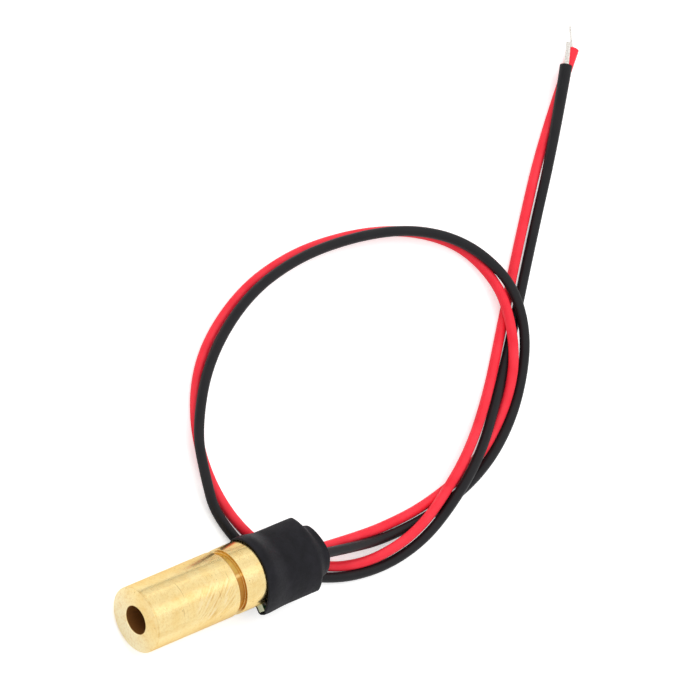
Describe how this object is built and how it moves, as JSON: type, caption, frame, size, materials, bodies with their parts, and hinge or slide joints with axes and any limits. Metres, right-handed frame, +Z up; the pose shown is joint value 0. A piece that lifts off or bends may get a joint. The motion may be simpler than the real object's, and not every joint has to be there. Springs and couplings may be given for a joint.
{
  "type": "laser diode module",
  "caption": "Small brass laser diode module with a black heat-shrunk rear sleeve and looped red and black leads with stripped ends",
  "frame": {"origin": "the centre of the barrel's front face, on the beam axis", "axes": "-Y is the way the beam leaves the barrel, +Y runs to the rear where the leads come out, +Z is up off the table and +X is to the right when looking from the front to the rear"},
  "size_m": [0.0378, 0.0696, 0.0064],
  "materials": {
    "brass_shell": "turned",
    "lens_clear": "polished",
    "spring_steel": "drawn",
    "gilt_metal": "plated",
    "nickel_plate": "plated",
    "die_dark": "polished",
    "seal_glass": "fused",
    "board_green": "lacquered",
    "package_black": "moulded",
    "resistor_dark": "glazed",
    "capacitor_tan": "fired",
    "solder_tin": "tinned",
    "lead_black": "satin",
    "lead_red": "satin",
    "shrink_black": "matt"
  },
  "bodies": {
    "root": {"barrel": "brass_shell", "collimating_lens": "lens_clear", "lens_spring": "spring_steel", "diode_holder": "brass_shell", "diode_stem": "gilt_metal", "diode_cap": "nickel_plate", "diode_window": "lens_clear", "laser_chip": "die_dark", "monitor_photodiode": "die_dark", "monitor_pin": "gilt_metal", "laser_pin": "gilt_metal", "common_pin": "gilt_metal", "monitor_pin_seal": "seal_glass", "laser_pin_seal": "seal_glass", "circuit_board": "board_green", "drive_transistor": "package_black", "drive_transistor_legs": "solder_tin", "sense_transistor": "package_black", "sense_transistor_legs": "solder_tin", "limit_resistor": "resistor_dark", "bias_resistor": "resistor_dark", "sense_resistor": "resistor_dark", "filter_capacitor": "capacitor_tan", "pin_solder_joints": "solder_tin", "black_lead_core": "solder_tin", "red_lead_core": "solder_tin", "lead_solder_joints": "solder_tin", "black_lead_root": "lead_black", "red_lead_root": "lead_red", "sleeve": "shrink_black", "red_lead": "lead_red", "black_lead": "lead_black", "black_lead_tip": "solder_tin", "red_lead_strand": "solder_tin"}
  },
  "joints": []
}
